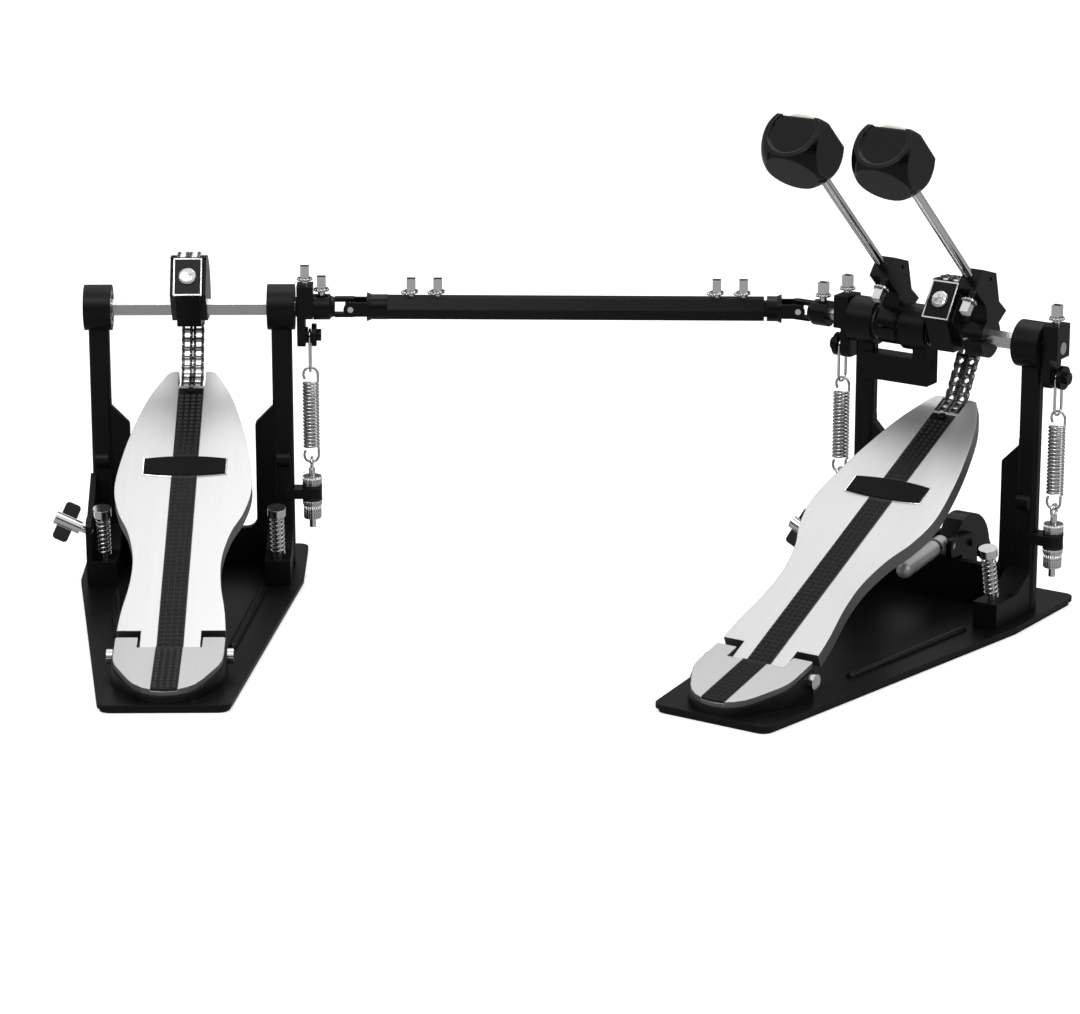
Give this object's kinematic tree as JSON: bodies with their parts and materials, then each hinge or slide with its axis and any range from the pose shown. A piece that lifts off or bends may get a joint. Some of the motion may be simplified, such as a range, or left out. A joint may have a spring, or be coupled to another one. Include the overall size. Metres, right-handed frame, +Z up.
{
  "type": "double bass drum pedal",
  "caption": "Double bass drum pedal: main pedal with two beaters, side pedal and a telescopic drive shaft with universal joints",
  "frame": {"origin": "on the floor, straight below the middle of the main pedal's axle", "axes": "X runs along the drive shaft away from the side pedal, Y points to the drum side, Z is up"},
  "size_m": [0.6664, 0.3708, 0.3382],
  "materials": {
    "powder_coat": "fine satin black powder coat",
    "sole_rubber": "matt black rubber",
    "grip_rubber": "black rubber with small pyramids",
    "brushed_board": "brushed lengthwise, satin",
    "bearing_steel": "ground steel rings with dark seals",
    "chrome": "bright chrome plate",
    "spring_steel": "bright drawn wire",
    "axle_steel": "satin nickel plate",
    "black_alloy": "semi-gloss black",
    "chain_steel": "oiled steel with dark plates",
    "beater_gloss": "glossy black",
    "beater_felt": "pressed cream felt",
    "lever_satin": "light grey satin"
  },
  "bodies": {
    "main_unit": {"main_base_plate": "powder_coat", "main_rubbers": "sole_rubber", "main_frame": "powder_coat", "main_bearings": "bearing_steel", "main_heel_plate": "brushed_board", "main_bolts": "chrome", "main_spur_springs": "spring_steel"},
    "main_rotor": {"main_axle": "axle_steel", "main_cam": "black_alloy", "main_fittings": "chrome", "main_hub": "black_alloy", "main_beater_rod": "chrome", "main_beater_head": "beater_gloss", "main_beater_felt": "beater_felt", "main_rocker": "black_alloy", "main_chain_wrap": "chain_steel"},
    "main_board": {"main_footboard": "brushed_board", "main_tread": "grip_rubber"},
    "main_chain_upper": {"main_chain_bend": "chain_steel"},
    "main_chain_lower": {"main_chain_drop": "chain_steel"},
    "main_spring_body": {"main_spring": "spring_steel"},
    "main_link_body": {"main_spring_link": "chrome"},
    "main_wing": {"main_wing_screw": "chrome"},
    "clamp_jaw_body": {"clamp_jaw": "black_alloy"},
    "clamp_lever_body": {"clamp_lever": "lever_satin"},
    "second_rotor": {"second_axle": "axle_steel", "second_hub": "black_alloy", "second_beater_rod": "chrome", "second_beater_head": "beater_gloss", "second_beater_felt": "beater_felt", "second_rocker": "black_alloy", "second_screws": "chrome", "second_yoke": "black_alloy"},
    "second_spring_body": {"second_spring": "spring_steel"},
    "second_link_body": {"second_spring_link": "chrome"},
    "right_cross_body": {"cross_right": "chrome"},
    "drive_rod_body": {"drive_rod": "black_alloy"},
    "drive_tube_body": {"drive_tube": "black_alloy", "tube_screws": "chrome"},
    "left_cross_body": {"cross_left": "chrome"},
    "side_unit": {"side_base_plate": "powder_coat", "side_rubbers": "sole_rubber", "side_frame": "powder_coat", "side_bearings": "bearing_steel", "side_heel_plate": "brushed_board", "side_bolts": "chrome", "side_spur_springs": "spring_steel"},
    "side_wing": {"side_wing_screw": "chrome"},
    "side_rotor": {"side_axle": "axle_steel", "side_cam": "black_alloy", "side_fittings": "chrome", "side_rocker": "black_alloy", "side_chain_wrap": "chain_steel", "side_yoke": "black_alloy"},
    "side_board": {"side_footboard": "brushed_board", "side_tread": "grip_rubber"},
    "side_chain_upper": {"side_chain_bend": "chain_steel"},
    "side_chain_lower": {"side_chain_drop": "chain_steel"},
    "side_spring_body": {"side_spring": "spring_steel"},
    "side_link_body": {"side_spring_link": "chrome"}
  },
  "joints": [
    {"name": "main_beater_turn", "type": "hinge", "parent": "main_unit", "child": "main_rotor", "pos_m": [0, 0, 0.1815], "axis": [-0.8434, 0.5373, 0], "range_deg": [0, 48]},
    {"name": "main_board_press", "type": "hinge", "parent": "main_unit", "child": "main_board", "pos_m": [-0.12465, -0.19567, 0.01675], "axis": [-0.8434, 0.5373, 0], "range_deg": [0, 8.6]},
    {"name": "main_chain_fold", "type": "hinge", "parent": "main_rotor", "child": "main_chain_upper", "pos_m": [0.01465, 0.023, 0.20096], "axis": [0.8434, -0.5373, 0], "range_deg": [0, 23]},
    {"name": "main_chain_hang", "type": "hinge", "parent": "main_chain_upper", "child": "main_chain_lower", "pos_m": [0.01783, 0.02798, 0.17685], "axis": [0.8434, -0.5373, 0], "range_deg": [0, 50]},
    {"name": "main_spring_swing", "type": "hinge", "parent": "main_unit", "child": "main_spring_body", "pos_m": [0.06621, -0.04218, 0.075], "axis": [0.8434, -0.5373, 0], "range_deg": [0, 9.54]},
    {"name": "main_spring_stretch", "type": "slide", "parent": "main_spring_body", "child": "main_link_body", "axis": [0, 0, 1], "range_m": [0, 0.00818], "deforming": ["main_spring"]},
    {"name": "side_beater_turn", "type": "hinge", "parent": "side_unit", "child": "side_rotor", "pos_m": [-0.49424, 0.05702, 0.1815], "axis": [-0.9994, -0.0349, 0], "range_deg": [0, 44]},
    {"name": "second_beater_turn", "type": "hinge", "parent": "main_unit", "child": "second_rotor", "pos_m": [0, 0, 0.1815], "axis": [-0.8434, 0.5373, 0], "range_deg": [0, 49]},
    {"name": "second_spring_swing", "type": "hinge", "parent": "main_unit", "child": "second_spring_body", "pos_m": [-0.06621, 0.04218, 0.075], "axis": [0.8434, -0.5373, 0], "range_deg": [0, 9.14]},
    {"name": "second_spring_stretch", "type": "slide", "parent": "second_spring_body", "child": "second_link_body", "axis": [0, 0, 1], "range_m": [0, 0.00884], "deforming": ["second_spring"]},
    {"name": "shaft_length", "type": "slide", "parent": "main_unit", "child": "side_unit", "axis": [-1, 0, 0], "range_m": [0, 0.1]},
    {"name": "drive_rod_turn", "type": "hinge", "parent": "main_unit", "child": "drive_rod_body", "pos_m": [-0.0953, 0.06071, 0.1815], "axis": [-1, 0, 0], "range_deg": [0, 45]},
    {"name": "right_cross_tilt", "type": "hinge", "parent": "drive_rod_body", "child": "right_cross_body", "pos_m": [-0.0953, 0.06071, 0.1815], "axis": [0, 1, 0], "range_deg": [0, 26.5]},
    {"name": "drive_tube_turn", "type": "hinge", "parent": "side_unit", "child": "drive_tube_body", "pos_m": [-0.3883, 0.06071, 0.1815], "axis": [-1, 0, 0], "range_deg": [0, 45]},
    {"name": "left_cross_tilt", "type": "hinge", "parent": "drive_tube_body", "child": "left_cross_body", "pos_m": [-0.3883, 0.06071, 0.1815], "axis": [0, -1, 0], "range_deg": [0, 3]},
    {"name": "side_board_press", "type": "hinge", "parent": "side_unit", "child": "side_board", "pos_m": [-0.48614, -0.17484, 0.01675], "axis": [-0.9994, -0.0349, 0], "range_deg": [0, 8]},
    {"name": "side_chain_fold", "type": "hinge", "parent": "side_rotor", "child": "side_chain_upper", "pos_m": [-0.49519, 0.08426, 0.20096], "axis": [0.9994, 0.0349, 0], "range_deg": [0, 21]},
    {"name": "side_chain_hang", "type": "hinge", "parent": "side_chain_upper", "child": "side_chain_lower", "pos_m": [-0.4954, 0.09017, 0.17685], "axis": [0.9994, 0.0349, 0], "range_deg": [0, 46]},
    {"name": "side_spring_swing", "type": "hinge", "parent": "side_unit", "child": "side_spring_body", "pos_m": [-0.41579, 0.05976, 0.075], "axis": [0.9994, 0.0349, 0], "range_deg": [0, 8.83]},
    {"name": "side_spring_stretch", "type": "slide", "parent": "side_spring_body", "child": "side_link_body", "axis": [0, 0, 1], "range_m": [0, 0.00755], "deforming": ["side_spring"]},
    {"name": "main_wing_turn", "type": "hinge", "parent": "main_unit", "child": "main_wing", "pos_m": [-0.08153, -0.00142, 0.042], "axis": [-0.7644, 0.487, 0.4226], "range_deg": [-90, 90]},
    {"name": "side_wing_turn", "type": "hinge", "parent": "side_unit", "child": "side_wing", "pos_m": [-0.56063, 0.00967, 0.042], "axis": [-0.9058, -0.0316, 0.4226], "range_deg": [-90, 90]},
    {"name": "clamp_close", "type": "hinge", "parent": "main_unit", "child": "clamp_jaw_body", "pos_m": [0.00913, 0.01434, 0.038], "axis": [-0.8434, 0.5373, 0], "range_deg": [0, 12]},
    {"name": "clamp_lever_lift", "type": "hinge", "parent": "main_unit", "child": "clamp_lever_body", "pos_m": [-0.00269, -0.00422, 0.041], "axis": [-0.8434, 0.5373, 0], "range_deg": [0, 40]}
  ],
  "couplings": [
    {"joint": "main_board_press", "follows": "main_beater_turn", "ratio": 0.1643},
    {"joint": "main_chain_fold", "follows": "main_beater_turn", "ratio": 0.438},
    {"joint": "main_chain_hang", "follows": "main_beater_turn", "ratio": 1.0131},
    {"joint": "main_spring_swing", "follows": "main_beater_turn", "ratio": 0.178},
    {"joint": "main_spring_stretch", "follows": "main_beater_turn", "m_per_rad": 0.00905},
    {"joint": "second_beater_turn", "follows": "side_beater_turn", "ratio": 1.1},
    {"joint": "second_spring_swing", "follows": "side_beater_turn", "ratio": 0.185},
    {"joint": "second_spring_stretch", "follows": "side_beater_turn", "m_per_rad": 0.01073},
    {"joint": "drive_rod_turn", "follows": "side_beater_turn", "ratio": 1},
    {"joint": "right_cross_tilt", "follows": "side_beater_turn", "ratio": 0.567},
    {"joint": "drive_tube_turn", "follows": "side_beater_turn", "ratio": 1},
    {"joint": "left_cross_tilt", "follows": "side_beater_turn", "ratio": 0.032},
    {"joint": "side_board_press", "follows": "side_beater_turn", "ratio": 0.1643},
    {"joint": "side_chain_fold", "follows": "side_beater_turn", "ratio": 0.438},
    {"joint": "side_chain_hang", "follows": "side_beater_turn", "ratio": 1.0131},
    {"joint": "side_spring_swing", "follows": "side_beater_turn", "ratio": 0.178},
    {"joint": "side_spring_stretch", "follows": "side_beater_turn", "m_per_rad": 0.00905}
  ]
}
